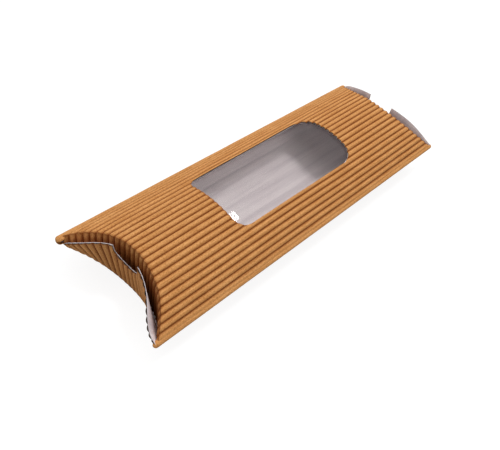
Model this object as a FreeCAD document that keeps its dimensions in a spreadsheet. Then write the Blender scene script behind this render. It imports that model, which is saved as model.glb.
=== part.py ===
import FreeCAD, Part
import Sketcher
import math
import os

from FreeCAD import Placement, Rotation, Vector

# A pillow box of single-face corrugated board: two bowed panels joined along two side folds,
# with a pair of curved flaps at each end and a clear window in the top panel.
# X runs along the box, from the near end to the far end. Y points to the left side and Z up.
# The origin is under the middle of the box, on the surface that it stands on.

SIZES = (
    ("corner_length", 238.0, "between the corner tips of the two ends"),
    ("fold_width", 80.0, "between the side folds, where the bowed faces would meet"),
    ("panel_rise", 17.5, "crown of each panel over the plane of the side folds"),
    ("crease_run", 18.9, "how far each curved end crease reaches in from the corner tips"),
    ("fold_land", 2.4, "unfluted strip of a panel that rounds into a side fold"),
    ("flute_pitch", 3.35, "wanted spacing of the flutes, fitted to a whole odd number"),
    ("flute_radius", 0.95, "rounding of a ridge, which is also its height over the groove"),
    ("groove_width", 0.45, "flat floor between two ridges"),
    ("resting_flutes", 5, "flutes under the box that its weight presses flat, an odd number"),
    ("medium_paper", 0.25, "thickness of the kraft fluting paper"),
    ("liner_paper", 0.3, "thickness of the white liner paper"),
    ("glue_layer", 0.1, "thickness of the adhesive under the film and in the seam"),
    ("window_length", 96.0, "window along the box"),
    ("window_width", 40.6, "window across the box, seen from above"),
    ("window_ahead", 1.7, "window centre towards the far end"),
    ("window_aside", 0.6, "window centre towards the left side"),
    ("window_near_corner", 3.4, "corner radius at the near end of the window"),
    ("window_far_corner", 9.0, "corner radius at the far end of the window"),
    ("film_margin", 8.0, "how far the film laps under the board round the window"),
    ("film_sheet", 0.2, "thickness of the clear film"),
    ("glue_inset", 1.5, "film adhesive back from the window edge"),
    ("tab_width", 13.0, "glue tab across, fitted to whole flutes"),
    ("tab_setback", 37.0, "each end of the glue tab from the corner tips"),
    ("tab_taper", 8.0, "how much shorter the glue tab's free edge is at each end"),
    ("outer_reach", 36.5, "outer flaps from crease to free edge, at the middle"),
    ("outer_width", 74.0, "outer flaps across"),
    ("inner_reach", 31.0, "inner flaps from crease to free edge, at the middle"),
    ("inner_width", 70.0, "inner flaps across"),
    ("notch_radius", 8.4, "thumb notch rounding, half its width"),
    ("notch_depth", 12.5, "thumb notch from the free edge"),
    ("head_gap", 0.35, "free gap over the middle of a flap's head, under its panel"),
    ("head_ease", 4.4, "how much tighter than the panel a flap's head is rounded"),
    ("near_outer_ajar", 4.5, "near outer flap open at rest, degrees"),
    ("far_outer_ajar", 3.5, "far outer flap open at rest, degrees"),
    ("near_inner_ajar", 9.0, "near inner flap pushed in at rest, degrees"),
    ("far_inner_ajar", 9.0, "far inner flap pushed in at rest, degrees"),
    ("cut_overrun", 6.0, "how far cutting solids reach past what they cut"),
)

doc = FreeCAD.newDocument("pillow_box")
sheet = doc.addObject("Spreadsheet::Sheet", "sizes")
for row, (alias, value, meaning) in enumerate(SIZES, start=1):
    sheet.set(f"A{row}", meaning)
    sheet.set(f"B{row}", str(value))
    sheet.setAlias(f"B{row}", alias)
doc.recompute()


def size(alias):
    return float(sheet.get(alias))


# Bowed cross-section: every radius is measured from the axis of the top panel's arc.
half_width = size("fold_width") / 2
rise = size("panel_rise")
crest_radius = (half_width**2 + rise**2) / (2 * rise)
axis_drop = crest_radius - rise
ridge_height = size("medium_paper") + size("flute_radius")
board = ridge_height + size("liner_paper")
liner_outside = crest_radius - ridge_height
liner_inside = crest_radius - board
film_outside = liner_inside - size("glue_layer")
film_inside = film_outside - size("film_sheet")
tab_crest = liner_inside - size("glue_layer")
tab_liner_outside = tab_crest - ridge_height
tab_liner_inside = tab_crest - board

# The board bends at its grooves, so its section is a row of flats between rays from the arc's
# axis. A flat is its two rays and its number of flutes: one, or more where the box stands on it.
edge_angle = math.asin(half_width / crest_radius) - size("fold_land") / crest_radius
wanted_flutes = 2 * edge_angle * liner_outside / size("flute_pitch")
flute_count = 2 * round((wanted_flutes - 1) / 2) + 1
flute_step = 2 * edge_angle / flute_count
rays = [flute_step * (i - flute_count / 2) for i in range(flute_count + 1)]
arc_flats = [(low, high, 1) for low, high in zip(rays, rays[1:])]
resting_flutes = int(size("resting_flutes"))
rest_first = (flute_count - resting_flutes) // 2
rest_last = rest_first + resting_flutes
resting_flat = (rays[rest_first], rays[rest_last], resting_flutes)
bottom_flats = arc_flats[:rest_first] + [resting_flat] + arc_flats[rest_last:]
tab_flutes = max(1, round(size("tab_width") / (tab_liner_outside * flute_step)))
tab_flats = arc_flats[:tab_flutes]


def bend_point(ray, height):
    """Corner between two flats; the height is that of a flat of one flute over the arc's axis."""
    radius = height / math.cos(flute_step / 2)
    return Vector(0, radius * math.sin(ray), radius * math.cos(ray) - axis_drop)


def flute_ends(flat, index, height):
    """Where one flute of a flat starts and stops, at a height over the arc's axis."""
    low, high, count = flat
    start = bend_point(low, height)
    span = bend_point(high, height) - start
    return start + span * (index / count), start + span * ((index + 1) / count)


def face_along(path):
    """Face inside a closed path of points; a pair in it is an arc's middle and end."""
    edges = []
    here = path[0]
    for stop in path[1:] + path[:1]:
        if isinstance(stop, tuple):
            edges.append(Part.Arc(here, stop[0], stop[1]).toShape())
            here = stop[1]
        else:
            edges.append(Part.LineSegment(here, stop).toShape())
            here = stop
    return Part.Face(Part.Wire(edges))


def ridge_path(flat, index, glue_height, side, inset):
    """One flute of a flat; inset 0 is the ridge's outside, the paper's thickness its tunnel."""
    paper = size("medium_paper")
    radius = size("flute_radius") - inset
    slant = radius * math.cos(math.pi / 4)
    floor = paper - inset
    start, stop = flute_ends(flat, index, glue_height)
    middle = (start + stop) / 2
    across = (stop - start).normalize()
    outward = Vector(0, -across.z, across.y) * side
    crest = start.distanceToPoint(stop) / 2 - size("groove_width") / 2 - size("flute_radius")

    def over(along, above):
        return middle + across * along + outward * above

    foot_start, foot_stop = flute_ends(flat, index, glue_height + side * floor)
    path = [foot_start, over(-crest - radius, floor)]
    if inset:
        path.append(over(-crest - radius, paper))
    path.append((over(-crest - slant, paper + slant), over(-crest, paper + radius)))
    path.append(over(crest, paper + radius))
    path.append((over(crest + slant, paper + slant), over(crest + radius, paper)))
    if inset:
        path.append(over(crest + radius, floor))
    path.append(foot_stop)
    return path


def reversed_path(path):
    """The same path walked backwards, with each arc's middle kept between its ends."""
    stops = [stop[1] if isinstance(stop, tuple) else stop for stop in path]
    middles = [stop[0] if isinstance(stop, tuple) else None for stop in path]
    back = [stops[-1]]
    for i in range(len(path) - 1, 0, -1):
        back.append((middles[i], stops[i - 1]) if middles[i] else stops[i - 1])
    return back


def fluting_face(flats, glue_height, side):
    """Corrugated paper on the flats; side 1 has its ridges outwards and side -1 inwards."""
    outside = []
    tunnel = []
    for flat in flats:
        for index in range(flat[-1]):
            skip = 1 if outside else 0
            outside += ridge_path(flat, index, glue_height, side, 0)[skip:]
            tunnel += ridge_path(flat, index, glue_height, side, size("medium_paper"))[skip:]
    return face_along(outside + reversed_path(tunnel))


def ply_face(flats, low, high):
    """Smooth paper, film or glue that follows the flats between two heights."""
    bends = [flat[0] for flat in flats] + [flats[-1][1]]
    outside = [bend_point(ray, high) for ray in bends]
    inside = [bend_point(ray, low) for ray in reversed(bends)]
    return face_along(outside + inside)


def fold_face(side, inner_corner):
    """Rounded side fold, tangent to both panels; side 1 is the left one and -1 the right one."""
    crest = bend_point(edge_angle, crest_radius)
    liner = bend_point(edge_angle, liner_inside)
    centre = axis_drop * math.tan(edge_angle)
    tip = centre + math.hypot(crest.y - centre, crest.z)

    def at(y, z):
        return Vector(0, side * y, z)

    path = [at(crest.y, crest.z), (at(tip, 0), at(crest.y, -crest.z)), at(liner.y, -liner.z)]
    if inner_corner:
        path.append(at(inner_corner.y, -inner_corner.z))
    return face_along(path + [at(liner.y, liner.z)])


def section(name, face):
    feature = doc.addObject("Part::Feature", name)
    feature.Shape = face
    return feature


def extrude(name, base, forward, backward):
    solid = doc.addObject("Part::Extrusion", name)
    solid.Base = base
    solid.DirMode = "Custom"
    solid.Dir = Vector(1, 0, 0)
    solid.Solid = True
    solid.setExpression("LengthFwd", forward)
    solid.setExpression("LengthRev", backward)
    return solid


def cut(name, base, tool):
    result = doc.addObject("Part::Cut", name)
    result.Base = base
    result.Tool = tool
    return result


def common(name, *shapes):
    result = doc.addObject("Part::MultiCommon", name)
    result.Shapes = list(shapes)
    return result


def fuse(name, *shapes):
    result = doc.addObject("Part::MultiFuse", name)
    result.Shapes = list(shapes)
    return result


def cylinder(name, radius, height, along_x=False, x="0", z="0"):
    """Cylinder placed by expressions, upright and centred in Z, or lying along X."""
    tool = doc.addObject("Part::Cylinder", name)
    tool.setExpression("Radius", radius)
    tool.setExpression("Height", height)
    if along_x:
        tool.Placement = Placement(Vector(), Rotation(Vector(0, 1, 0), 90))
    tool.setExpression("Placement.Base.x", x)
    tool.setExpression("Placement.Base.z", z)
    return tool


# Expressions that several pieces share.
half_length = "(sizes.corner_length / 2)"
end_radius = "(((sizes.fold_width / 2)^2 + sizes.crease_run^2) / (2 * sizes.crease_run))"
cut_height = "(2 * (sizes.panel_rise + sizes.cut_overrun))"
crest_arc = "(((sizes.fold_width / 2)^2 + sizes.panel_rise^2) / (2 * sizes.panel_rise))"
board_depth = "(sizes.medium_paper + sizes.flute_radius + sizes.liner_paper)"

# Plan outlines of the panels' ends: upright cylinders whose rims are the curved creases.
near_end = cylinder(
    "near_end_tool", end_radius, cut_height,
    x=f"-{half_length} + sizes.crease_run - {end_radius}", z=f"-{cut_height} / 2")
far_end = cylinder(
    "far_end_tool", end_radius, cut_height,
    x=f"{half_length} - sizes.crease_run + {end_radius}", z=f"-{cut_height} / 2")
both_ends = fuse("both_ends_tool", near_end, far_end)


def window_tool(name, outset):
    """Upright rounded block of the window's outline, grown by an expression on every side."""
    body = doc.addObject("PartDesign::Body", name)
    sketch = body.newObject("Sketcher::SketchObject", f"{name}_outline")
    plane = [f for f in body.Origin.OriginFeatures if f.Role == "XY_Plane"][0]
    sketch.AttachmentSupport = [(plane, "")]
    sketch.MapMode = "FlatFace"
    across = size("window_width") / 2
    along = size("window_length") / 2
    signs = ((-1, -1), (1, -1), (1, 1), (-1, 1))
    corners = [Vector(along * x_sign, across * y_sign) for x_sign, y_sign in signs]
    for i, corner in enumerate(corners):
        sketch.addGeometry(Part.LineSegment(corner, corners[(i + 1) % 4]))
    for i in range(4):
        sketch.addConstraint(Sketcher.Constraint("Coincident", i, 2, (i + 1) % 4, 1))
    for i in (0, 2):
        sketch.addConstraint(Sketcher.Constraint("Horizontal", i))
        sketch.addConstraint(Sketcher.Constraint("Vertical", i + 1))
    half_along = f"sizes.window_length / 2 + {outset}"
    half_across = f"sizes.window_width / 2 + {outset}"
    limits = (
        ("near_limit", "DistanceX", 0, 1, -1, 1, f"{half_along} - sizes.window_ahead"),
        ("far_limit", "DistanceX", -1, 1, 1, 1, f"{half_along} + sizes.window_ahead"),
        ("right_limit", "DistanceY", 0, 1, -1, 1, f"{half_across} - sizes.window_aside"),
        ("left_limit", "DistanceY", -1, 1, 2, 1, f"{half_across} + sizes.window_aside"),
    )
    for label, kind, first, first_end, second, second_end, rule in limits:
        start = along if kind == "DistanceX" else across
        index = sketch.addConstraint(
            Sketcher.Constraint(kind, first, first_end, second, second_end, start))
        sketch.renameConstraint(index, label)
        sketch.setExpression(f"Constraints.{label}", rule)
    pad = body.newObject("PartDesign::Pad", f"{name}_block")
    pad.Profile = sketch
    pad.setExpression("Length", "sizes.panel_rise + sizes.cut_overrun")
    doc.recompute()
    rounded = pad
    for end, sign in (("near", -1), ("far", 1)):
        upright = []
        for i, edge in enumerate(rounded.Shape.Edges, start=1):
            if edge.BoundBox.ZLength > rise and sign * edge.CenterOfMass.x > 0:
                upright.append(f"Edge{i}")
        fillet = body.newObject("PartDesign::Fillet", f"{name}_{end}_rounding")
        fillet.Base = (rounded, upright)
        fillet.setExpression("Radius", f"sizes.window_{end}_corner + {outset}")
        doc.recompute()
        rounded = fillet
    return body


window = window_tool("window_tool", "0")
glue_hole = window_tool("film_glue_hole", "sizes.glue_inset")

film_plan = doc.addObject("Part::Box", "film_plan")
film_plan.setExpression("Length", "sizes.window_length + 2 * sizes.film_margin")
film_plan.setExpression("Width", "sizes.window_width + 2 * sizes.film_margin")
film_plan.setExpression("Height", "sizes.panel_rise + sizes.cut_overrun")
film_start = "sizes.window_ahead - sizes.window_length / 2 - sizes.film_margin"
film_side = "sizes.window_aside - sizes.window_width / 2 - sizes.film_margin"
film_plan.setExpression("Placement.Base.x", film_start)
film_plan.setExpression("Placement.Base.y", film_side)

# Plan of the glue tab: a strip along one side fold whose free edge is shorter.
tab_plan = doc.addObject("Part::Wedge", "tab_plan")
tab_half = f"({half_length} - sizes.tab_setback)"
for limit, rule in (
    ("Xmin", f"-{tab_half}"),
    ("Xmax", tab_half),
    ("X2min", f"-{tab_half} + sizes.tab_taper"),
    ("X2max", f"{tab_half} - sizes.tab_taper"),
    ("Ymin", "-sizes.fold_width / 2"),
    ("Ymax", "-sizes.fold_width / 2 + sizes.tab_width"),
    ("Zmin", "-sizes.panel_rise"),
    ("Zmax", "sizes.panel_rise"),
    ("Z2min", "-sizes.panel_rise"),
    ("Z2max", "sizes.panel_rise"),
):
    tab_plan.setExpression(limit, rule)

# Placements: the box stands on the crests of its resting flutes, and the bottom panel, like the
# far end, is made as its counterpart is and turned over.
resting_face = bend_point(resting_flat[1], liner_outside).z + ridge_height
lift = Placement(Vector(0, 0, resting_face), Rotation())
flip = Placement(Vector(), Rotation(Vector(1, 0, 0), 180))
turn = Placement(Vector(), Rotation(Vector(0, 0, 1), 180))
subparts = []


def finish(node, feature, placement):
    feature.Label = node
    feature.Placement = placement
    subparts.append(feature)


# Top and bottom panels, each of two plies between the side folds and the end creases.
top_tool = fuse("top_panel_tool", near_end, far_end, window)
panels = (("top_panel", arc_flats, top_tool, lift), ("bottom_panel", bottom_flats, both_ends, lift * flip))
for panel, flats, tool, placement in panels:
    plies = (
        (f"{panel}_fluting", fluting_face(flats, liner_outside, 1)),
        (f"{panel}_liner", ply_face(flats, liner_inside, liner_outside)),
    )
    for node, face in plies:
        strip = extrude(f"{node}_strip", section(f"{node}_section", face), half_length, half_length)
        finish(node, cut(f"{node}_trim", strip, tool), placement)

# Side folds: the right one joins the two panels, the left one also carries the glue tab.
tab_corner = bend_point(edge_angle, tab_liner_inside)
for node, side, inner_corner in (("left_side_fold", 1, tab_corner), ("right_side_fold", -1, None)):
    profile = section(f"{node}_section", fold_face(side, inner_corner))
    strip = extrude(f"{node}_strip", profile, half_length, half_length)
    finish(node, cut(f"{node}_trim", strip, both_ends), lift)

# Glue tab under the bottom panel's liner, built over the top panel's arc and turned over.
tab_faces = (
    ("glue_tab_fluting", fluting_face(tab_flats, tab_liner_outside, 1)),
    ("glue_tab_liner", ply_face(tab_flats, tab_liner_inside, tab_liner_outside)),
    ("seam_adhesive", ply_face(tab_flats, tab_crest, liner_inside)),
)
for node, face in tab_faces:
    strip = extrude(f"{node}_strip", section(f"{node}_section", face), half_length, half_length)
    finish(node, common(f"{node}_trim", strip, tab_plan), lift * flip)

# Window film and the band of adhesive that holds it under the top panel.
film = section("film_section", ply_face(arc_flats, film_inside, film_outside))
film_strip = extrude("film_strip", film, half_length, half_length)
finish("window_film", common("film_trim", film_strip, film_plan), lift)
glue = section("film_glue_section", ply_face(arc_flats, film_outside, liner_inside))
glue_strip = extrude("film_glue_strip", glue, half_length, half_length)
glue_blank = common("film_glue_blank", glue_strip, film_plan)
finish("window_film_adhesive", cut("film_glue_trim", glue_blank, glue_hole), lift)

# End flaps. Each is the panel's board carried on past its curved crease and mirrored in the
# plane of that crease, which is how a curved score folds. The board beyond the crease is built
# with its ridges inwards, because the mirror turns them out. Over an outer flap's head, the
# bottom panel lies nearer to the folds than its arc does, by the drop of its resting flat.
flap_glue_face = crest_radius + ridge_height
flap_plies = (
    ("fluting", fluting_face(arc_flats, flap_glue_face, -1)),
    ("liner", ply_face(arc_flats, flap_glue_face, flap_glue_face + size("liner_paper"))),
)
head_radius = f"({crest_arc} - {board_depth} - sizes.head_ease)"
panel_drop = {"outer": rise - resting_face, "inner": 0}
heads = {}
for flap, drop in panel_drop.items():
    heads[flap] = cylinder(
        f"{flap}_flap_head_tool", head_radius, half_length, along_x=True,
        x=f"-{half_length} - sizes.cut_overrun",
        z=f"sizes.panel_rise - {drop:.6f} - {board_depth} - sizes.head_gap - {head_radius}")
notch_floor = f"-{half_length} + sizes.crease_run - sizes.outer_reach + sizes.notch_depth"
notch_centre = f"{notch_floor} - sizes.notch_radius"
notch_rounding = cylinder("notch_rounding_tool", "sizes.notch_radius", cut_height, x=notch_centre)
notch_slot = doc.addObject("Part::Box", "notch_slot_tool")
notch_slot.setExpression("Length", "sizes.notch_depth + sizes.cut_overrun")
notch_slot.setExpression("Width", "2 * sizes.notch_radius")
notch_slot.setExpression("Height", cut_height)
notch_slot.setExpression("Placement.Base.x", f"{notch_centre} - sizes.notch_depth - sizes.cut_overrun")
notch_slot.setExpression("Placement.Base.y", "-sizes.notch_radius")
notch = fuse("thumb_notch_tool", notch_rounding, notch_slot)


def free_edge(flap):
    """Upright cylinder whose rim is a flap's free edge, meeting the crease at the flap's tips."""
    half = f"(sizes.{flap}_width / 2)"
    dip = f"({end_radius} - sqrt({end_radius}^2 - {half}^2))"
    bow = f"(sizes.{flap}_reach - {dip})"
    radius = f"(({half}^2 + {bow}^2) / (2 * {bow}))"
    start = f"-{half_length} + sizes.crease_run - sizes.{flap}_reach"
    return cylinder(f"{flap}_free_edge_tool", radius, cut_height, x=f"{start} + {radius}")


outer_outline = common("outer_flap_lens", near_end, free_edge("outer"))
outlines = {
    "outer": cut("outer_flap_outline", outer_outline, notch),
    "inner": common("inner_flap_outline", near_end, free_edge("inner")),
}
outer_pivot = Vector(-size("corner_length") / 2 + size("crease_run"), 0, rise)
inner_pivot = outer_pivot + Vector(board, 0, -board - size("head_gap"))


def swing(angle, pivot):
    """Turn about a crease's axis; a positive angle opens a flap outwards."""
    return Placement(Vector(), Rotation(Vector(0, 1, 0), angle), pivot)


flap_places = {
    "outer": (
        ("near", lift * flip * swing(size("near_outer_ajar"), outer_pivot)),
        ("far", lift * turn * flip * swing(size("far_outer_ajar"), outer_pivot)),
    ),
    "inner": (
        ("near", lift * swing(-size("near_inner_ajar"), inner_pivot)),
        ("far", lift * turn * swing(-size("far_inner_ajar"), inner_pivot)),
    ),
}
for ply, face in flap_plies:
    profile = section(f"flap_{ply}_section", face)
    beyond = extrude(f"flap_{ply}_strip", profile, "0", f"{half_length} + sizes.outer_reach")
    for flap, places in flap_places.items():
        blank = common(f"{flap}_flap_{ply}_blank", beyond, outlines[flap])
        folded = doc.addObject("Part::Mirroring", f"{flap}_flap_{ply}_folded")
        folded.Source = blank
        folded.setExpression("Base.x", f"-{half_length}")
        folded.setExpression("Normal.x", "sizes.panel_rise")
        folded.setExpression("Normal.z", "-sizes.crease_run")
        for end, placement in places:
            headed = common(f"{end}_{flap}_flap_{ply}_headed", folded, heads[flap])
            finish(f"{end}_{flap}_flap_{ply}", headed, placement)

doc.recompute()

for item in doc.Objects:
    if "Invalid" in item.State or "Error" in item.State:
        raise RuntimeError(f"{item.Name} failed: {item.State}")
for piece in subparts:
    if piece.Shape.isNull() or not piece.Shape.isValid() or not piece.Shape.Solids:
        raise RuntimeError(f"{piece.Label} has no valid solid")

os.makedirs("parts", exist_ok=True)
for piece in subparts:
    piece.Shape.exportStep(f"parts/{piece.Label}.step")
    box = piece.Shape.BoundBox
    spans = f"{box.XLength:.2f} x {box.YLength:.2f} x {box.ZLength:.2f}"
    print(f"{piece.Label}: {len(piece.Shape.Solids)} solid, {piece.Shape.Volume:.1f} mm3, {spans}")
print(f"{flute_count} flutes to a panel, board {board:.2f} mm, arc radius {crest_radius:.2f} mm")
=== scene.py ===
# Looks of the pillow box: fluted kraft board on a white liner, curved end flaps and a clear window.
import math

import bpy
import numpy as np
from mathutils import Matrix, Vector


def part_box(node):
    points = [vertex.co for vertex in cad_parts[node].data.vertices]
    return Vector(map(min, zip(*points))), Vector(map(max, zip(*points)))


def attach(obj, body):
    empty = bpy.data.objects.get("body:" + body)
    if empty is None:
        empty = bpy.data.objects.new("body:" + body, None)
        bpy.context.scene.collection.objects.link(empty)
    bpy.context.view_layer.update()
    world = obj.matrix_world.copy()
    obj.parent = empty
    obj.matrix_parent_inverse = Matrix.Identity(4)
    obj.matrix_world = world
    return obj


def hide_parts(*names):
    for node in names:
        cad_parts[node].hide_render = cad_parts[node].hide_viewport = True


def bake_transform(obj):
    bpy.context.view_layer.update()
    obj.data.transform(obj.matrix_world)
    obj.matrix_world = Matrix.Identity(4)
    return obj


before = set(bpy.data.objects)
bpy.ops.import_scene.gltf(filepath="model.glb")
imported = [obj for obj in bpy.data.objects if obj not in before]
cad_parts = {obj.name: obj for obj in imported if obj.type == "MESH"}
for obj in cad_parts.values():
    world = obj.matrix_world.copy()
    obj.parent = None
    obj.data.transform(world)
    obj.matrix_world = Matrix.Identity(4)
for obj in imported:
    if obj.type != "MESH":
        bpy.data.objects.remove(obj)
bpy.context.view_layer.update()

# Sizes in millimetres, most of them those of the solids. The window's near right corner is rounder
# and the inner flaps are fuller. Shapes are worked out about the plane of the side folds.
LENGTH = 238.0
WIDTH = 80.0
RISE = 17.5
CREASE_RUN = 18.9
FOLD_LAND = 2.4
FLUTES = 25
BOARD_RIDGE = 1.2
PAPER = 0.25
GROOVE_PAPER = 0.06
LINER = 0.3
GLUE = 0.1
FILM = 0.2
WINDOW_LENGTH = 96.0
WINDOW_WIDTH = 40.6
WINDOW_AHEAD = 1.7
WINDOW_ASIDE = 0.6
NEAR_CORNERS = {"left": 3.4, "right": 8.0}
FAR_CORNER = 9.0
FAR_BOW = 0.8
FILM_MARGIN = 8.0
OUTER_REACH = 36.5
OUTER_CURVE = 54.25
NOTCH_RADIUS = 8.5
NOTCH_DEPTH = 12.5
INNER_REACH = 31.0
INNER_ROOM = 2.5
INNER_LIP = 0.8
INNER_ROUNDING = 8

# Radii about a panel's axis and angles across the panel
CREST = ((WIDTH / 2) ** 2 + RISE**2) / (2 * RISE)
DROP = CREST - RISE
LINER_OUT = CREST - BOARD_RIDGE
GROOVE = LINER_OUT + GROOVE_PAPER
RIDGE = CREST - GROOVE
LINER_IN = LINER_OUT - LINER
FILM_OUT = LINER_IN - GLUE
SLOPE = CREASE_RUN / RISE
EDGE = math.asin(WIDTH / 2 / CREST) - FOLD_LAND / CREST
STEP = 2 * EDGE / FLUTES
PITCH = GROOVE * STEP
low_corner, high_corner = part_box("left_side_fold")
FOLD_Z = (low_corner.z + high_corner.z) / 2 * 1000

# Unevenness of hand-folded board. A side is 1 on the left and -1 on the right, a level is 1 for
# the top panel and -1 for the bottom one, and an end is 1 for the near one and -1 for the far one.
ROUNDNESS = 0.88
FLUTE_SHIFT = -0.22
DRIFT = 0.22
DRIFT_REACH = 80
DRIFT_HOLD = 8
DENT = 0.16
DENT_REACH = 45
DENT_HOLD = 7
WASHBOARD = 0.05
# Sag of each side: in the middle, and how it grows along the box
SIDE_SAG = {1: (-0.6, -1.8), -1: (-0.7, 0.5)}
# Pressing of the flutes at the creases, by level
CRUSH = {1: 0.55, -1: 0.9}
CRUSH_REACH = {1: 1.3, -1: 2.6}
# Wander of a crease, by end and level: how far, about which line and how wide
CREASE_DRIFT = {(1, 1): (0.9, -25, 9), (-1, 1): (1.2, 21, 10)}
TIP_HANG = 2.2
TIP_HANG_ACROSS = (24, 38)
TIP_HANG_ALONG = (-88, -116)
WINDOW_CRUSH = 0.55
WINDOW_CRUSH_FADE = 2.5
LIP = 1.0
LIP_FLUTES = 0.45
LIP_FADE = (-3, 1)
WAVES = 7
WAVE_SPREAD = (0.7, 1.6)
dice = np.random.default_rng(5)
FLUTE_SIZE = dice.uniform(0.92, 1.0, FLUTES + 2)
FLUTE_TONE = dice.uniform(0, 1, FLUTES + 2)


def ripple(seed, along, across, reach):
    """Smooth unevenness between -1 and 1: sine waves in random directions, each about reach long."""
    waves = np.random.default_rng(seed)
    total = 0
    for _ in range(WAVES):
        heading, phase = waves.uniform(0, 2 * np.pi, 2)
        rate = 2 * np.pi / (reach * waves.uniform(*WAVE_SPREAD))
        total = total + np.sin(rate * (along * np.cos(heading) + across * np.sin(heading)) + phase)
    return total / WAVES


def smooth_step(low, high, value):
    """From 0 at low to 1 at high."""
    share = np.clip((value - low) / (high - low), 0, 1)
    return share * share * (3 - 2 * share)


def fade(distance, reach):
    """From 1 at no distance to nearly 0 at twice the reach."""
    return np.exp(-((distance / reach) ** 2))


def joined(*parts):
    """Coordinates put together as points."""
    return np.stack(np.broadcast_arrays(*parts), axis=-1)


def on_arc(x, radius, angle):
    """Points at a radius and an angle about a panel's axis."""
    return joined(x, radius * np.sin(angle), radius * np.cos(angle) - DROP)


# Fluted board. A place across the board is counted in flutes from its right edge.
OVERRUN = 0.29
LEAST_STEP = 0.01
FOLD_HEIGHT = 0.75
FOLD_EASE = 0.35
PHASES = np.array([0, 0.03, 0.08, 0.16, 0.28, 0.42, 0.58, 0.72, 0.84, 0.92, 0.97])
LINER_PHASES = PHASES[::3]


def flute_rows(phases, extra=()):
    """Places across the board of a sheet's rows of points."""
    rows = (np.arange(-1, FLUTES + 1)[:, None] + phases + FLUTE_SHIFT).ravel()
    rows = rows[(rows > LEAST_STEP - OVERRUN) & (rows < FLUTES + OVERRUN - LEAST_STEP)]
    return np.unique(np.concatenate([rows, [-OVERRUN, FLUTES + OVERRUN], extra]).round(5))


def place_of(y):
    """Place across the board of a line at y, in its grooves."""
    return (math.asin(y / GROOVE) + EDGE) / STEP


def angle_of(place):
    """Angle of a place about the panel's axis, if its flutes were straight."""
    return STEP * place - EDGE


def flute_of(place):
    """Number of the flute that a place is in."""
    return np.floor(place - FLUTE_SHIFT).astype(int) + 1


def arch(place):
    """Height of the fluting over its grooves, from 0 to 1; it evens out towards the side folds."""
    wave = np.abs(np.sin(np.pi * (place - FLUTE_SHIFT))) ** ROUNDNESS
    aside = np.minimum(place, FLUTES - place)
    return wave + (FOLD_HEIGHT - wave) * smooth_step(FOLD_EASE, -OVERRUN, aside)


def washboard(place):
    """Faint ripple of the liner's free face, from the flutes under it."""
    return WASHBOARD * np.cos(2 * np.pi * place)


def ray(seed, along, place):
    """Angle of a flute's line about the panel's axis, with the slow drift that the flutes have."""
    held = 1 - np.minimum(np.abs(2 * place / FLUTES - 1), 1) ** DRIFT_HOLD
    return angle_of(place) + DRIFT / GROOVE * held * ripple(seed, along, place * PITCH, DRIFT_REACH)


def pressed(distance, level):
    """Share of its height that the fluting keeps near a scored crease."""
    return 1 - CRUSH[level] * fade(distance, CRUSH_REACH[level])


def crease_x(angle, end, level):
    """Where a crease crosses a line of the board, as it would be at the near end."""
    amount, middle, reach = CREASE_DRIFT.get((end, level), (0, 0, 1))
    even = SLOPE * (CREST * np.cos(angle) - DROP) - LENGTH / 2
    return even + amount * fade(CREST * np.sin(angle) - middle, reach)


def tip_hang(x, y):
    """How far the bottom panel hangs down at the near left tip."""
    return TIP_HANG * smooth_step(*TIP_HANG_ACROSS, y) * smooth_step(*TIP_HANG_ALONG, x)


def floored(points, level, above=0.0):
    """Points of the bottom panel or its flaps, kept from going under the floor."""
    if level < 0:
        points[..., 2] = np.minimum(points[..., 2], FOLD_Z - above)
    return points


def in_frame(points, end=1, level=1):
    """Millimetres about the folds to metres in the row's frame, mirrored where end or level is -1."""
    placed = points * np.array([end, 1, level])
    if level < 0:
        placed[..., 2] -= tip_hang(placed[..., 0], placed[..., 1])
    x, y = placed[..., 0] / (LENGTH / 2), placed[..., 1] / (WIDTH / 2)
    left, right = [middle + growth * x for middle, growth in (SIDE_SAG[1], SIDE_SAG[-1])]
    placed[..., 2] += FOLD_Z + np.where(y > 0, left, right) * y**2
    return placed / 1000


SHARP_ANGLE = 48


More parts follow.
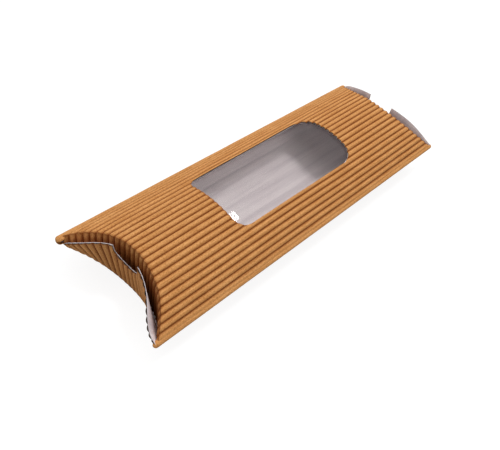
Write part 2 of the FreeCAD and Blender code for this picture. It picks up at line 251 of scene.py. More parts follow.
def closed_sheet(name, outside, inside, along, across, marks=None, keep=None, folds=(), cut=1.0):
    """A ply of paper: two grids of points, closed by rims round the cells to keep.

    The rims are marked with cut, which is how dark they are painted as shade, but not those along the
    columns in folds.
    """
    rows, columns = outside.shape[:2]
    grid = np.arange(rows * columns).reshape(rows, columns)
    quads = np.stack([grid[:-1, :-1], grid[:-1, 1:], grid[1:, 1:], grid[1:, :-1]], axis=-1)
    quads = quads.reshape(-1, 4) if keep is None else quads[keep]
    edges = np.concatenate([quads[:, [i, (i + 1) % 4]] for i in range(4)])
    low, high = edges.min(axis=1), edges.max(axis=1)
    _, first, uses = np.unique(low * grid.size + high, return_index=True, return_counts=True)
    rim = edges[first[uses == 1]]
    rim_shade = np.full(len(rim), cut)
    for fold in folds:
        rim_shade[np.isin(rim, grid[:, fold]).all(axis=1)] = 0
    other = grid.size
    rims = np.stack([rim[:, 1], rim[:, 0], rim[:, 0] + other, rim[:, 1] + other], axis=-1)
    faces = np.concatenate([quads, quads[:, ::-1] + other, rims])
    points = np.concatenate([outside.reshape(-1, 3), inside.reshape(-1, 3)])
    used = np.unique(faces)
    renumber = np.zeros(len(points), int)
    renumber[used] = np.arange(len(used))
    faces = renumber[faces]
    points = points[used]
    corners = points[faces]
    facing = np.cross(corners[:, 2] - corners[:, 0], corners[:, 3] - corners[:, 1])
    if np.einsum("ij,ij->", corners.mean(axis=1) - points.mean(axis=0), facing) < 0:
        faces = faces[:, ::-1]
    mesh = bpy.data.meshes.new(name)
    mesh.from_pydata(points.tolist(), [], faces.tolist())
    flat = joined(along, across).reshape(-1, 2) / 1000
    flat = np.concatenate([flat, flat])[used]
    layer = mesh.uv_layers.new(name="board")
    layer.data.foreach_set("uv", flat[faces.ravel()].astype(np.float32).ravel())
    for mark, sides in (marks or {}).items():
        values = np.concatenate([np.broadcast_to(side, (rows, columns)).ravel() for side in sides])[used]
        attribute = mesh.attributes.new(mark, "FLOAT", "POINT")
        attribute.data.foreach_set("value", values.astype(np.float32))
    # The cut mark: painted shade on the rims.
    edge = mesh.attributes.new("cut", "FLOAT", "CORNER")
    rim_shades = np.repeat(np.concatenate([np.zeros(2 * len(quads)), rim_shade]), 4)
    edge.data.foreach_set("value", rim_shades.astype(np.float32))
    mesh.shade_smooth()
    mesh.set_sharp_from_angle(angle=math.radians(SHARP_ANGLE))
    piece = bpy.data.objects.new(name, mesh)
    bpy.context.scene.collection.objects.link(piece)
    return piece


# Panels: rows of points along the flutes, in columns that follow the creases and the window's ends
CREASE_STEPS = np.array([0, 0.25, 0.6, 1.0, 1.5, 2.1, 3.0])
CREASE_REACH = 4.5
EDGE_STEPS = np.array([0, 0.4, 0.9, 1.6])
EDGE_REACH = 2.6
PLAIN_COLUMNS = 9
WINDOW_COLUMNS = 17
WINDOW_START = len(CREASE_STEPS) + PLAIN_COLUMNS + len(EDGE_STEPS)
WINDOW_SIDES = [place_of(WINDOW_ASIDE + side * WINDOW_WIDTH / 2) for side in (-1, 1)]
PANEL_FOLDS = (0, -1)
MITRE_REACH = 2


def window_ends(y):
    """Where the window starts and stops along the box, on a line at y."""
    half = WINDOW_WIDTH / 2
    aside = np.minimum(np.abs(y - WINDOW_ASIDE), half)

    def corner(radius):
        over = np.maximum(aside - (half - radius), 0)
        return radius - np.sqrt(radius**2 - over**2)

    near_corner = np.where(y > WINDOW_ASIDE, NEAR_CORNERS["left"], NEAR_CORNERS["right"])
    near = WINDOW_AHEAD - WINDOW_LENGTH / 2 + corner(near_corner)
    far = WINDOW_AHEAD + WINDOW_LENGTH / 2 - corner(FAR_CORNER) + FAR_BOW * (1 - (aside / half) ** 2)
    return near, far


def spread(start, stop, count):
    """Evenly spaced columns from start up to, not including, stop."""
    return start[:, None] + (stop - start)[:, None] * (np.arange(count) / count)


def panel_columns(rows, level):
    """Places along the box of a panel's points, row by row."""
    angle = angle_of(rows)
    near = crease_x(angle, 1, level)
    far = -crease_x(angle, -1, level)
    window_near, window_far = window_ends(GROOVE * np.sin(angle))
    return np.concatenate([
        near[:, None] + CREASE_STEPS,
        spread(near + CREASE_REACH, window_near - EDGE_REACH, PLAIN_COLUMNS),
        window_near[:, None] - np.append(EDGE_STEPS[1:], EDGE_REACH)[::-1],
        spread(window_near, window_far, WINDOW_COLUMNS),
        window_far[:, None] + EDGE_STEPS,
        spread(window_far + EDGE_REACH, far - CREASE_REACH, PLAIN_COLUMNS),
        far[:, None] - CREASE_REACH,
        far[:, None] - CREASE_STEPS[::-1],
    ], axis=1)


def window_cells(rows, columns):
    """Cells of a panel's grid that stay; those in the window are left out."""
    keep = np.ones((len(rows) - 1, columns - 1), bool)
    middle = (rows[:-1] + rows[1:]) / 2
    open_rows = (middle > WINDOW_SIDES[0]) & (middle < WINDOW_SIDES[1])
    keep[open_rows, WINDOW_START:WINDOW_START + WINDOW_COLUMNS] = False
    return keep


def window_crush(along, y):
    """Share of its height that the fluting keeps at the near end of the window."""
    near, _ = window_ends(y)
    beside = smooth_step(0, WINDOW_CRUSH_FADE, np.abs(y - WINDOW_ASIDE) - WINDOW_WIDTH / 2)
    return 1 - WINDOW_CRUSH * fade(near - along, CRUSH_REACH[1]) * (1 - beside)


def window_lip(along, place, y):
    """Height that the fluting has at least along the window's left side, where its cut edge stands up."""
    near, far = window_ends(y)
    beside = fade(place - WINDOW_SIDES[1], LIP_FLUTES)
    return LIP * beside * smooth_step(*LIP_FADE, along - near) * smooth_step(*LIP_FADE, far - along)


def from_creases(along):
    """Distances along the flutes from a panel's near crease and from its far one."""
    return along - along[:, :1], along[:, -1:] - along


def panel_grid(phases, level, windowed):
    """A ply's places along the box and across it, in flutes and in millimetres, and its cells."""
    rows = flute_rows(phases, WINDOW_SIDES)
    along = panel_columns(rows, level)
    place = rows[:, None]
    keep = window_cells(rows, along.shape[1]) if windowed else None
    return along, place, GROOVE * angle_of(place), keep


def panel_points(seed, along, place, radius):
    """Points of a panel's surface; at the creases its plies are mitred, the inner ones shorter."""
    near, far = from_creases(along)
    mitre = fade(near, MITRE_REACH) - fade(far, MITRE_REACH)
    return on_arc(along + (CREST - radius) * mitre, radius, ray(seed, along, place))


def panel(name, seed, level, windowed):
    """Both plies of a panel: the fluting and the liner under it."""
    along, place, across, keep = panel_grid(PHASES, level, windowed)
    distance = np.minimum(*from_creases(along))
    share = arch(place) * pressed(distance, level)
    if windowed:
        share = np.maximum(share * window_crush(along, across), window_lip(along, place, across))
    dents = DENT * (1 - fade(distance, DENT_HOLD)) * ripple(seed + 1, along, across, DENT_REACH)
    outside = GROOVE + RIDGE * FLUTE_SIZE[flute_of(place)] * share + dents
    inside = np.maximum(outside - PAPER, LINER_OUT)
    grids = []
    for radius, above in ((outside, 0.0), (inside, PAPER)):
        points = panel_points(seed, along, place, radius)
        grids.append(in_frame(floored(points, level, above), level=level))
    tone = FLUTE_TONE[flute_of(place)]
    # The ridge mark sets the painted shade: the fluting's height on its outer face, and -1 on its inner
    # face for the painted dark of the tunnels.
    marks = {"ridge": (share, -1), "tone": (tone, tone)}
    fluting = closed_sheet(f"{name}_fluted_ply", *grids, along, across, marks, keep, PANEL_FOLDS)
    along, place, across, keep = panel_grid(LINER_PHASES, level, windowed)
    grids = []
    for radius in (LINER_OUT, LINER_IN + washboard(place)):
        grids.append(in_frame(panel_points(seed, along, place, radius), level=level))
    liner = closed_sheet(f"{name}_liner_ply", *grids, along, across, None, keep, PANEL_FOLDS)
    return fluting, liner


# End flaps, worked out at the near end under the top crease and mirrored to their places. A lean
# is in degrees, at places in millimetres across the flap.
FLAP_STEPS = np.array([
    0, 0.008, 0.02, 0.04, 0.065, 0.1, 0.15, 0.22, 0.31, 0.41, 0.52, 0.63, 0.74, 0.84, 0.92, 0.97, 1,
])
FLAP_FOLDS = (0,)
# How dark the flap liners' cut edges are painted as shade.
FLAP_LINER_CUT_SHADE = 0.3
LINER_SETBACK = 0.3
LEAST_REACH = RIDGE + 0.5
TIP_TRIM = {"near_outer_flap": 5.8, "far_outer_flap": 2.0}
TIP_TRIM_ACROSS = (28.5, 38.5)
EDGE_PRESS = {"near_outer_flap": 0.35, "far_outer_flap": 0.9}
EDGE_PRESS_REACH = 2
NOTCH_SIDES = (-8.55, -8.45, 8.45, 8.55)
LEAN_PLACES = (-39, -34, -27, -18, -9, 0, 9, 18, 27, 34, 39)
LEAN_DEGREE = 7
LEANS = {
    "near_outer_flap": (39, 34, 20.5, 12.7, 9.8, 9, 12.4, 18.8, 30, 33, 30),
    "far_outer_flap": (11, 10.5, 11.5, 9, 6, 4.8, 5, 3.6, 3, 3, 3),
    "near_inner_flap": (0, -1, -2, -3, -3.5, -3.5, -3.5, -3, -2, -1, -0.5),
    "far_inner_flap": (-4.6,) * len(LEAN_PLACES),
}
# Painted shade: the outer faces of the inner flaps are painted darker away from the crease, for the shade
# that the outer flap throws into the gap: by how much, and between which distances from it that comes in.
PAINTED_SHADE = 0.75
PAINTED_SHADE_DEPTHS = (-1, 5)


def flap_side(name):
    """A flap's end and the level of its panel."""
    return (1 if name.startswith("near") else -1), (-1 if "outer" in name else 1)


def flap_reach(flap, y, crease):
    """Length of a flap along one of its flutes, from the crease to the free edge."""
    if "outer" in flap:
        head = SLOPE * RISE - LENGTH / 2 - OUTER_REACH
        free = head + OUTER_CURVE - np.sqrt(OUTER_CURVE**2 - y**2)
        notch = head + NOTCH_DEPTH - NOTCH_RADIUS + np.sqrt(np.maximum(NOTCH_RADIUS**2 - y**2, 0))
        free = np.where(np.abs(y) < NOTCH_RADIUS, np.maximum(free, notch), free)
        free = free + TIP_TRIM[flap] * smooth_step(*TIP_TRIM_ACROSS, y)
        return np.maximum(crease - free, LEAST_REACH)
    room = np.maximum(2 * (crease + LENGTH / 2) / SLOPE - INNER_ROOM, INNER_LIP)
    power = float(-INNER_ROUNDING)
    return (INNER_REACH**power + room**power) ** (1 / power) + RIDGE


def flap_frame(flap, seed, phases, start):
    """Groove surface of a flap, the direction into the box, its lengths and places."""
    end, level = flap_side(flap)
    sides = [place_of(side) for side in NOTCH_SIDES] if level < 0 else []
    place = flute_rows(phases, sides)[:, None]
    angle = angle_of(place)
    crease = crease_x(angle, end, level)
    reach = flap_reach(flap, GROOVE * np.sin(angle), crease) - RIDGE
    length = start + (reach - start) * FLAP_STEPS
    along = crease - length
    angle = ray(seed, end * along, place)
    y = GROOVE * np.sin(angle)
    curve = np.polyfit(np.array(LEAN_PLACES) / WIDTH, LEANS[flap], LEAN_DEGREE)
    lean = np.radians(np.polyval(curve, y / WIDTH))
    base = joined(
        crease_x(angle, end, level) + RIDGE - length * np.sin(lean),
        y,
        GROOVE * np.cos(angle) - DROP - length * np.cos(lean),
    )
    inward = joined(np.cos(angle) * np.cos(lean), np.sin(angle), -np.cos(angle) * np.sin(lean))
    return base, inward, length, along, angle, place


def flap(name, seed):
    """Both plies of an end flap, whose flutes run on from its panel's over the crease."""
    end, level = flap_side(name)
    base, inward, length, along, angle, place = flap_frame(name, seed, PHASES, 0)
    share = arch(place) * pressed(length, level)
    if name in EDGE_PRESS:
        share = share * (1 - EDGE_PRESS[name] * fade(length[:, -1:] - length, EDGE_PRESS_REACH))
    height = (RIDGE * FLUTE_SIZE[flute_of(place)] * share)[..., None]
    outside = base - height * inward
    radius = GROOVE + height[:, 0, 0]
    turned = angle[:, 0]
    fold = on_arc(crease_x(turned, end, level) + CREST - radius, radius, turned)
    outside += (fold - outside[:, 0])[:, None] * fade(length, CRUSH_REACH[1])[..., None]
    inside = outside + PAPER * inward
    grids = [in_frame(floored(grid, level), end, level) for grid in (outside, inside)]
    tone = FLUTE_TONE[flute_of(place)]
    # Painted shade on an inner flap: its ridge mark is lowered away from the crease, so it takes more of
    # the painted groove shade.
    painted_shade = 1 - PAINTED_SHADE * smooth_step(*PAINTED_SHADE_DEPTHS, length) if level > 0 else 1
    marks = {"ridge": (share * painted_shade, -1), "tone": (tone, tone)}
    across = GROOVE * angle_of(place)
    fluting = closed_sheet(f"{name}_fluted_ply", *grids, along, across, marks, folds=FLAP_FOLDS)
    base, inward, _, along, _, place = flap_frame(name, seed, LINER_PHASES, LINER_SETBACK)
    depths = (GROOVE_PAPER, GROOVE_PAPER + LINER - washboard(place)[..., None])
    grids = [in_frame(base + depth * inward, end, level) for depth in depths]
    across = GROOVE * angle_of(place)
    liner = closed_sheet(f"{name}_liner_ply", *grids, along, across, folds=FLAP_FOLDS, cut=FLAP_LINER_CUT_SHADE)
    return fluting, liner


# Side folds: rounded strips with blunt noses, whose edges dip under the outermost flutes. Each has
# its centre line and radius, by side. Towards the tips the strip curls on until it is nearly closed.
FOLD_SIDES = {1: (37.1, 2.3), -1: (37.8, 1.6)}
FOLD_SWEEP = 84
FOLD_TIP = 118.8
FOLD_COLUMNS = 75
FOLD_ROWS = 25
FOLD_RIPPLE = 0.06
FOLD_RIPPLE_REACH = 30
FOLD_SEED = 40
FOLD_HANG_ALONG = (-118, -112)
FOLD_MARKS = {"ridge": (0.85, 0.85), "tone": (0.5, 0.5)}
NOSE = 1.8
NOSE_SWEEP = 82
NOSE_COLUMNS = 9
TIP_SWEEP = 148
TIP_CURL = (5, 1)
TIP_LENGTH = 6
TIP_STEP = 0.75
LINING_SHORT = 6


def side_fold(name, side, outer, inner, tip):
    """One ply of a side fold, between two depths under its outer face."""
    centre, fold_radius = FOLD_SIDES[side]
    straight = tip - NOSE
    nose = straight + NOSE * np.sin(np.radians(np.linspace(0, NOSE_SWEEP, NOSE_COLUMNS))[1:])
    near_tip = np.arange(0, TIP_LENGTH, TIP_STEP) - straight
    middle = np.linspace(TIP_LENGTH - straight, straight - TIP_LENGTH, FOLD_COLUMNS)
    along = np.concatenate([-nose[::-1], near_tip, middle, -near_tip[::-1], nose])
    over = np.maximum(np.abs(along) - straight, 0)
    share = np.sqrt(1 - (over / NOSE) ** 2)
    curl = smooth_step(straight - TIP_CURL[0], straight - TIP_CURL[1], np.abs(along))
    turn = np.linspace(-1, 1, FOLD_ROWS)[:, None] * np.radians(FOLD_SWEEP + (TIP_SWEEP - FOLD_SWEEP) * curl)
    across = turn * fold_radius
    uneven = FOLD_RIPPLE * share * ripple(side + FOLD_SEED, along, across, FOLD_RIPPLE_REACH)
    grids = []
    for depth in (outer, inner):
        radius = (fold_radius - depth) * share + uneven
        x = np.sign(along) * (np.abs(along) - depth * over / NOSE)
        y = side * (centre + radius * np.cos(turn))
        low = np.maximum(-np.sin(turn), 0) * smooth_step(*FOLD_HANG_ALONG, x)
        grids.append(in_frame(joined(x, y, radius * np.sin(turn) - low * tip_hang(x, y))))
    return closed_sheet(name, *grids, along, across, FOLD_MARKS, cut=0.0)


# Window film, glued under the liner, which bulges where it spans the window. Its unevenness is the
# sum of ripples, each with a seed, a height and a reach.
FILM_COLUMNS = 113
FILM_ROWS = 71
FILM_HELD = FILM_MARGIN - 1
FILM_RIPPLES = ((71, 0.12, 34), (72, 0.03, 11))
SLACK_EDGE = 6.0
BULGE = 0.75
FILM_GLUE_INSET = 1.5


def film_sheet(name, depth, thickness, band):
    """A sheet under the window, at a depth under the liner: the film, or only a band round the window."""
    half_length = WINDOW_LENGTH / 2 + FILM_MARGIN
    half_width = WINDOW_WIDTH / 2 + FILM_MARGIN
    along = np.linspace(WINDOW_AHEAD - half_length, WINDOW_AHEAD + half_length, FILM_COLUMNS)
    across = np.linspace(WINDOW_ASIDE - half_width, WINDOW_ASIDE + half_width, FILM_ROWS)[:, None]
    from_ends = half_length - np.abs(along - WINDOW_AHEAD)
    inset = np.minimum(from_ends, half_width - np.abs(across - WINDOW_ASIDE))
    slack = sum(height * ripple(seed, along, across, reach) for seed, height, reach in FILM_RIPPLES)
    radius = LINER_IN - depth + smooth_step(FILM_HELD, FILM_HELD + SLACK_EDGE, inset) * (BULGE + slack)
    angle = np.arcsin(across / FILM_OUT)
    grids = [in_frame(on_arc(along, reach, angle)) for reach in (radius, radius - thickness)]
    keep = inset[1:, 1:] < FILM_MARGIN - FILM_GLUE_INSET if band else None
    return closed_sheet(name, *grids, along, across, None, keep)


# Glue tab inside the bottom panel, its edges pressed flat, and the glue under it
TAB_EDGE = 26.6
TAB_END = LENGTH / 2 - 37.0
TAB_TAPER = 8.0
TAB_PRESS = 1.8
TAB_PRESS_START = -0.1
TAB_WAVE = 0.15
TAB_ROWS = np.array([0, 0.03, 0.07, 0.12, 0.18, 0.3, 0.45, 0.6, 0.75, 0.9, 1])[:, None]
TAB_COLUMNS = 61
TAB_CROWDING = 1.8
# A low ridge mark gives the tab's fluting most of the painted groove shade.
TAB_MARKS = {"ridge": (0.2, 0.2), "tone": (0.5, 0.5)}
TAB_ANGLE = math.asin(TAB_EDGE / LINER_IN)
SEAM_INSET = 1.2
SEAM_SHORT = 2
SEAM_ROWS = 9
SEAM_COLUMNS = 41


def tab_sheet(name, low, high, fluted):
    """One ply of the tab, from low to high over its glue: 1 is the top of its flutes, 2 of its liner."""
    angle = TAB_ANGLE + (EDGE - TAB_ANGLE) * TAB_ROWS
    half = TAB_END - TAB_TAPER * (EDGE - angle) / (EDGE - TAB_ANGLE)
    share = np.linspace(-1, 1, TAB_COLUMNS)
    along = np.sign(share) * (1 - (1 - np.abs(share)) ** TAB_CROWDING) * half
    inset = np.minimum((angle - TAB_ANGLE) * LINER_IN, half - np.abs(along))
    rise = GLUE + BOARD_RIDGE * smooth_step(TAB_PRESS_START, TAB_PRESS, inset)
    wave = 0
    if fluted:
        wave = TAB_WAVE * np.cos(2 * np.pi * angle / STEP) * smooth_step(0, TAB_PRESS, inset)
    grids = []
    for stage in (low, high):
        lift = GLUE + (rise - GLUE) * min(stage, 1) + LINER * max(stage - 1, 0)
        grids.append(in_frame(on_arc(along, LINER_IN - lift + wave, angle), level=-1))
    return closed_sheet(name, *grids, along, LINER_IN * angle, TAB_MARKS if fluted else None)


def seam_glue(name):
    """The layer of glue between the tab and the bottom panel's liner."""
    angle = np.linspace(TAB_ANGLE + SEAM_INSET / LINER_IN, EDGE, SEAM_ROWS)[:, None]
    along = np.linspace(-1, 1, SEAM_COLUMNS) * (TAB_END - TAB_TAPER - SEAM_SHORT)
    grids = [in_frame(on_arc(along, radius, angle), level=-1) for radius in (LINER_IN, LINER_IN - GLUE)]
    return closed_sheet(name, *grids, along, LINER_IN * angle)


# Materials
class Shades:
    """The nodes of a material or of the world, added and linked in a few words."""

    def __init__(self, owner):
        owner.use_nodes = True
        self.owner = owner
        self.tree = owner.node_tree
        self.surface = next(n for n in self.tree.nodes if n.type in ("BSDF_PRINCIPLED", "BACKGROUND"))

    def link(self, value, socket):
        if isinstance(value, bpy.types.NodeSocket):
            self.tree.links.new(value, socket)
        else:
            socket.default_value = value

    def node(self, kind, inputs=(), **settings):
        made = self.tree.nodes.new(kind)
        for key, value in settings.items():
            setattr(made, key, value)
        for key, value in dict(inputs).items():
            self.link(value, made.inputs[key])
        return made

    def math(self, operation, first, second=0.0):
        return self.node("ShaderNodeMath", {0: first, 1: second}, operation=operation).outputs[0]

    def vector(self, operation, first, second):
        return self.node("ShaderNodeVectorMath", {0: first, 1: second}, operation=operation).outputs

    def range(self, value, low, high, to_low, to_high):
        inputs = {0: value, 1: low, 2: high, 3: to_low, 4: to_high}
        return self.node("ShaderNodeMapRange", inputs).outputs[0]

    def mix(self, share, first, second, mode="MIX"):
        # The node's colour sockets are inputs 6 and 7 and output 2.
        inputs = {0: share, 6: first, 7: second}
        return self.node("ShaderNodeMix", inputs, data_type="RGBA", blend_type=mode).outputs[2]

    def times(self, base, tone):
        return self.mix(1.0, base, tone, "MULTIPLY")

    def tint(self, base, pattern, low, high, most, tone):
        """Mixes a tone into the base as the pattern goes from low to high, up to the share most."""
        return self.mix(self.range(pattern, low, high, 0, most), base, tone)

    def spot(self):
        """Place on the flat board, in millimetres."""
        return self.stretched(self.node("ShaderNodeUVMap", uv_map="board").outputs[0], 1000, 1000, 1000)

    def stretched(self, vector, *scale):
        return self.vector("MULTIPLY", vector, scale)[0]

    def noise(self, vector, scale, detail=3.0, roughness=0.55):
        inputs = {"Vector": vector, "Scale": scale, "Detail": detail, "Roughness": roughness}
        return self.node("ShaderNodeTexNoise", inputs).outputs[0]

    def mark(self, name):
        return self.node("ShaderNodeAttribute", attribute_name=name).outputs["Fac"]

    def seen(self):
        """1 for what the camera sees, also in gloss and through the film, and 0 for light on the object."""
        path = self.node("ShaderNodeLightPath").outputs
        direct = self.math("MAXIMUM", path["Is Camera Ray"], path["Is Glossy Ray"])
        return self.math("MAXIMUM", direct, path["Is Transmission Ray"])

    def bump(self, height, strength, distance):
        inputs = {"Strength": strength, "Distance": distance, "Height": height}
        self.link(self.node("ShaderNodeBump", inputs).outputs[0], self.surface.inputs["Normal"])

    def set(self, **values):
        for key, value in values.items():
            self.link(value, self.surface.inputs[key.replace("_", " ")])


def colour(red, green, blue):
    return (red, green, blue, 1)


KRAFT = {
    "deep": colour(0.68, 0.32, 0.104),
    "pale": colour(0.78, 0.4, 0.148),
    "cloud": colour(0.63, 0.28, 0.085),
    "fibre": colour(0.75, 0.43, 0.19),
    "fleck": colour(0.26, 0.1, 0.03),
    "flute": colour(0.52, 0.24, 0.08),
    # inside: painted shade for the insides of the flute tunnels
    "inside": colour(0.1, 0.045, 0.018),
    # cut: painted shade on cut edges
    "cut": colour(0.04, 0.02, 0.012),
}
# Shares of its colour that the paper keeps in its grain and its streaks, and in its grooves, where the
# darkening is painted shade
KRAFT_KEEPS = {
    "grain": colour(0.7, 0.61, 0.5),
    "streak": colour(0.76, 0.66, 0.52),
    "groove": colour(0.32, 0.145, 0.022),
}
KRAFT_CUT_SHADE = 0.95
WHITE = {
    "cool": colour(0.88, 0.775, 0.785),
    "warm": colour(0.94, 0.85, 0.85),
    "streak": colour(0.6, 0.51, 0.54),
    "fibre": colour(0.92, 0.86, 0.85),
    # cut: painted shade on cut edges
    "cut": colour(0.07, 0.05, 0.045),
    "speck": colour(0.42, 0.38, 0.36),
}
WHITE_CUT_SHADE = 0.9
FILM_CLEAR, FILM_HAZE = colour(0.1, 0.105, 0.11), colour(0.2, 0.205, 0.21)
GLUE_DULL, GLUE_PALE = colour(0.74, 0.7, 0.62), colour(0.84, 0.82, 0.76)


def kraft(name):
    """Brown kraft paper: mottled, fibrous and flecked, with painted shade in its grooves, on its inside and
    at cut edges.
    """
    made = Shades(bpy.data.materials.new(name))
    spot = made.spot()
    mottle = made.noise(spot, 0.11, 4)
    cloud = made.noise(spot, 0.022, 2)
    fibre = made.noise(made.stretched(spot, 0.35, 2.2, 2.2), 1.6, 4, 0.65)
    fleck = made.noise(made.stretched(spot, 0.7, 1.6, 1.6), 1.1, 1)
    grain = made.noise(made.stretched(spot, 0.6, 1.4, 1.4), 1.5, 2)
    streak = made.noise(made.stretched(spot, 0.045, 1.0, 1.0), 1.1, 3, 0.6)
    ridge = made.mark("ridge")
    base = made.tint(KRAFT["deep"], mottle, 0.3, 0.7, 1, KRAFT["pale"])
    base = made.tint(base, cloud, 0.35, 0.65, 0.35, KRAFT["cloud"])
    base = made.tint(base, fibre, 0.35, 0.75, 0.3, KRAFT["fibre"])
    base = made.tint(base, fleck, 0.66, 0.76, 0.5, KRAFT["fleck"])
    base = made.tint(base, grain, 0.55, 0.35, 1, made.times(base, KRAFT_KEEPS["grain"]))
    base = made.tint(base, streak, 0.42, 0.66, 0.75, made.times(base, KRAFT_KEEPS["streak"]))
    base = made.tint(base, made.mark("tone"), 0, 1, 0.2, KRAFT["flute"])
    # Painted shade: the lower the ridge mark, the more the colour darkens towards the groove colour.
    base = made.tint(made.times(base, KRAFT_KEEPS["groove"]), ridge, 0, 0.8, 1, base)
    # Painted shade on the fluting's inner face, where the ridge mark is below 0.
    base = made.mix(made.range(ridge, -0.9, -0.1, 1, 0), base, KRAFT["inside"])
    # Painted shade on cut edges, where the cut mark is set.
    base = made.mix(made.math("MULTIPLY", made.mark("cut"), KRAFT_CUT_SHADE), base, KRAFT["cut"])
    made.set(Base_Color=base, Roughness=made.range(fibre, 0.2, 0.8, 0.86, 0.66), Specular_IOR_Level=0.12)
    made.bump(made.math("ADD", fibre, made.math("MULTIPLY", mottle, 0.6)), 0.22, 0.00025)
    return made.owner


def liner_paper(name):
    """White liner: faintly grey, clouded and streaked, with pale fibres and grey specks."""
    made = Shades(bpy.data.materials.new(name))
    spot = made.spot()
    cloud = made.noise(spot, 0.06, 4)
    fibre = made.noise(made.stretched(spot, 1.4, 0.5, 1.4), 1.5, 4, 0.6)
    speck = made.noise(spot, 0.9, 1)
    streak = made.noise(made.stretched(spot, 0.03, 0.6, 0.6), 0.28, 2)
    base = made.tint(WHITE["cool"], cloud, 0.3, 0.7, 1, WHITE["warm"])
    base = made.tint(base, streak, 0.42, 0.62, 0.6, WHITE["streak"])
    base = made.tint(base, fibre, 0.45, 0.75, 0.35, WHITE["fibre"])
    # Painted shade on cut edges, where the cut mark is set.
    base = made.mix(made.math("MULTIPLY", made.mark("cut"), WHITE_CUT_SHADE), base, WHITE["cut"])
    base = made.tint(base, speck, 0.68, 0.78, 0.35, WHITE["speck"])
    made.set(Base_Color=base, Roughness=made.range(fibre, 0.2, 0.8, 0.75, 0.55), Specular_IOR_Level=0.35)
    made.bump(made.math("ADD", fibre, made.math("MULTIPLY", cloud, 0.8)), 0.15, 0.0002)
    return made.owner


def clear_film(name):
    """Clear stiff film: glossy, with a breath of haze where it was handled."""
    made = Shades(bpy.data.materials.new(name))
    haze = made.noise(made.spot(), 0.07, 3)
    base = made.tint(FILM_CLEAR, haze, 0.35, 0.7, 1, FILM_HAZE)
    made.set(Base_Color=base, Roughness=made.range(haze, 0.3, 0.7, 0.05, 0.1), IOR=2.3, Alpha=0.1)
    return made.owner


def dried_glue(name):
    """Dried white glue: milky, with a slight gloss and drawn-out ridges."""
    made = Shades(bpy.data.materials.new(name))
    streak = made.noise(made.stretched(made.spot(), 0.3, 1.5, 1.5), 0.9, 3)
    base = made.tint(GLUE_DULL, streak, 0.3, 0.7, 1, GLUE_PALE)
    made.set(Base_Color=base, Roughness=made.range(streak, 0.3, 0.7, 0.35, 0.55), Specular_IOR_Level=0.45)
    made.bump(streak, 0.3, 0.0002)
    return made.owner


board = kraft("kraft_board")
white = liner_paper("white_liner_paper")
film = clear_film("window_clear_film")
glue = dried_glue("dried_glue")


def dress(piece, material, slot, *nodes):
    """Gives a piece its material and puts it in the place of solids."""
    piece.data.materials.append(material)
    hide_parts(*nodes)


# Pieces of the carton
SEEDS = {1: 3, -1: 13}
for name, level in (("top", 1), ("bottom", -1)):
    fluting, liner = panel(name, SEEDS[level], level, level > 0)
    dress(fluting, board, "kraft_fluting", f"{name}_panel_fluting")
    dress(liner, white, "white_liner", f"{name}_panel_liner")
    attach(fluting, "carton")
    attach(liner, "carton")
for name, side in (("left", 1), ("right", -1)):
    fold = side_fold(f"{name}_rounded_fold", side, 0, PAPER, FOLD_TIP)
    dress(fold, board, "kraft_fluting", f"{name}_side_fold")
    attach(fold, "carton")
    lining = side_fold(f"{name}_fold_lining", side, PAPER, PAPER + LINER, FOLD_TIP - LINING_SHORT)
    lining.data.materials.append(white)
    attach(lining, "carton")
inside_pieces = (
    (film_sheet("window_pane", GLUE, FILM, False), film, "clear_film", "window_film"),
    (film_sheet("window_glue_band", 0, GLUE, True), glue, "adhesive", "window_film_adhesive"),
    (tab_sheet("seam_tab_fluted_ply", 0, 1, True), board, "kraft_fluting", "glue_tab_fluting"),
    (tab_sheet("seam_tab_liner_ply", 1, 2, False), white, "white_liner", "glue_tab_liner"),
    (seam_glue("seam_glue_line"), glue, "adhesive", "seam_adhesive"),
)
for piece, material, slot, node in inside_pieces:
    dress(piece, material, slot, node)
    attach(piece, "carton")

# End flaps, each ply with its material. By level, BEND is the length of a flap's bend at its crease and
# LAG is how much later the liner's bend starts, so that an outer flap's liner would stay on its flutes;
# the ends of that bend are worked out for each ply, but nothing uses them.
BEND = {1: 9.0, -1: 12.0}
LAG = {1: 0.0, -1: 1.3}
BEND_START = np.array([CREASE_RUN - LENGTH / 2 + RIDGE, 0, GROOVE - DROP])
BEND_HEADING = np.array([RISE, 0, -CREASE_RUN]) / math.hypot(RISE, CREASE_RUN)
for name in LEANS:
    end, level = flap_side(name)
    fluting, liner = flap(name, SEEDS[level])
    for piece, material, slot, ply, lag in (
        (fluting, board, "kraft_fluting", "fluting", 0.0),
        (liner, white, "white_liner", "liner", LAG[level]),
    ):
        dress(piece, material, slot, f"{name}_{ply}")
        depths = (lag, lag + BEND[level])
        reach = [in_frame(BEND_START + depth * BEND_HEADING, end, level) for depth in depths]
        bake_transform(piece)

# Stage: a pale floor that shows white to the camera and still takes the shadow
STAGE_HALF = 3
STAGE_UNDER = 0.00005
STAGE_GREY = 0.5
STAGE_SEEN_GREY = 0.2
STAGE_GLOW = 0.88
floor_mesh = bpy.data.meshes.new("studio_floor")
floor_corners = [(x * STAGE_HALF, y * STAGE_HALF, 0) for x, y in ((-1, -1), (1, -1), (1, 1), (-1, 1))]
floor_mesh.from_pydata(floor_corners, [], [(0, 1, 2, 3)])
floor = bpy.data.objects.new("studio_floor", floor_mesh)
floor.location.z = -STAGE_UNDER
bpy.context.scene.collection.objects.link(floor)
paint = Shades(bpy.data.materials.new("studio_floor"))
seen = paint.seen()
paint.set(
    Base_Color=paint.mix(seen, colour(*[STAGE_GREY] * 3), colour(*[STAGE_SEEN_GREY] * 3)),
    Roughness=0.9,
    Specular_IOR_Level=0.0,
    Emission_Color=colour(1, 1, 1),
    Emission_Strength=paint.math("MULTIPLY", seen, STAGE_GLOW),
)
floor_mesh.materials.append(paint.owner)

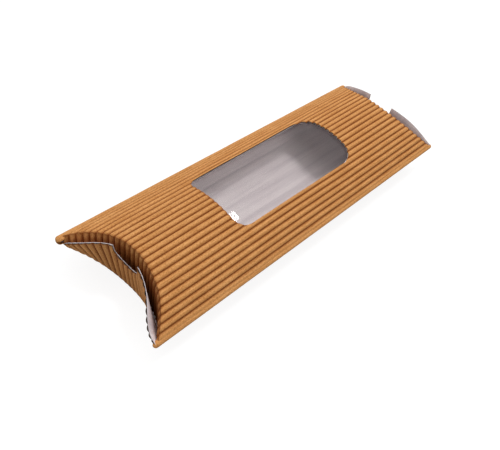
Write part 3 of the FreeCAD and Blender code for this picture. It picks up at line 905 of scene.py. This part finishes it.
# Light: a soft dome overhead, white to the camera, a small lamp over the window and two soft boxes.
# A lamp has its heading from the box, its width in metres and its power in watts.
SURROUND = 0.18
DOME = 1.65
DOME_POWER = 4.0
DOME_MIDDLE = (0.12, 0.36, 0.925)
LAMP_DISTANCE = 1.1
LAMPS = {
    "window_lamp": ((0.25, -0.03, 0.97), 0.25, 4.0),
    "right_soft_box": ((0.1, -0.76, 0.62), 0.6, 1.7),
    "front_soft_box": ((-0.97, 0.1, 0.14), 0.6, 1.3),
}
world = bpy.data.worlds.new("studio")
bpy.context.scene.world = world
sky = Shades(world)
heading = sky.node("ShaderNodeTexCoord").outputs["Generated"]
facing = sky.math("MAXIMUM", sky.vector("DOT_PRODUCT", heading, DOME_MIDDLE)["Value"], 0.0)
glow = sky.math("MULTIPLY", sky.math("POWER", facing, DOME_POWER), DOME)
glow = sky.math("ADD", glow, SURROUND)
sky.set(Color=colour(1, 1, 1), Strength=sky.math("MAXIMUM", sky.seen(), glow))
for name, (heading, span, power) in LAMPS.items():
    lamp = bpy.data.lights.new(name, "AREA")
    lamp.shape = "DISK"
    lamp.size = span
    lamp.energy = power
    soft_box = bpy.data.objects.new(name, lamp)
    toward = np.array(heading) / np.linalg.norm(heading)
    soft_box.location = toward * LAMP_DISTANCE
    soft_box.rotation_euler = (math.acos(toward[2]), 0, math.atan2(toward[1], toward[0]) + math.pi / 2)
    bpy.context.scene.collection.objects.link(soft_box)

# Camera, fitted to the outlines of the photograph, in metres and degrees. Its height is given from
# the plane of the side folds.
CAMERA_PLACE = (-0.22814, -0.141594, 0.260156)
CAMERA_TURN = (41.1007, -10.3469, -45.483)
eye = bpy.data.cameras.new("camera")
eye.sensor_width = 36
eye.lens = 46.1517
camera = bpy.data.objects.new("camera", eye)
camera.location = (*CAMERA_PLACE[:2], CAMERA_PLACE[2] + FOLD_Z / 1000)
camera.rotation_euler = [math.radians(angle) for angle in CAMERA_TURN]
bpy.context.scene.collection.objects.link(camera)
bpy.context.scene.camera = camera
bpy.context.scene.view_settings.view_transform = "Standard"

bpy.context.view_layer.update()
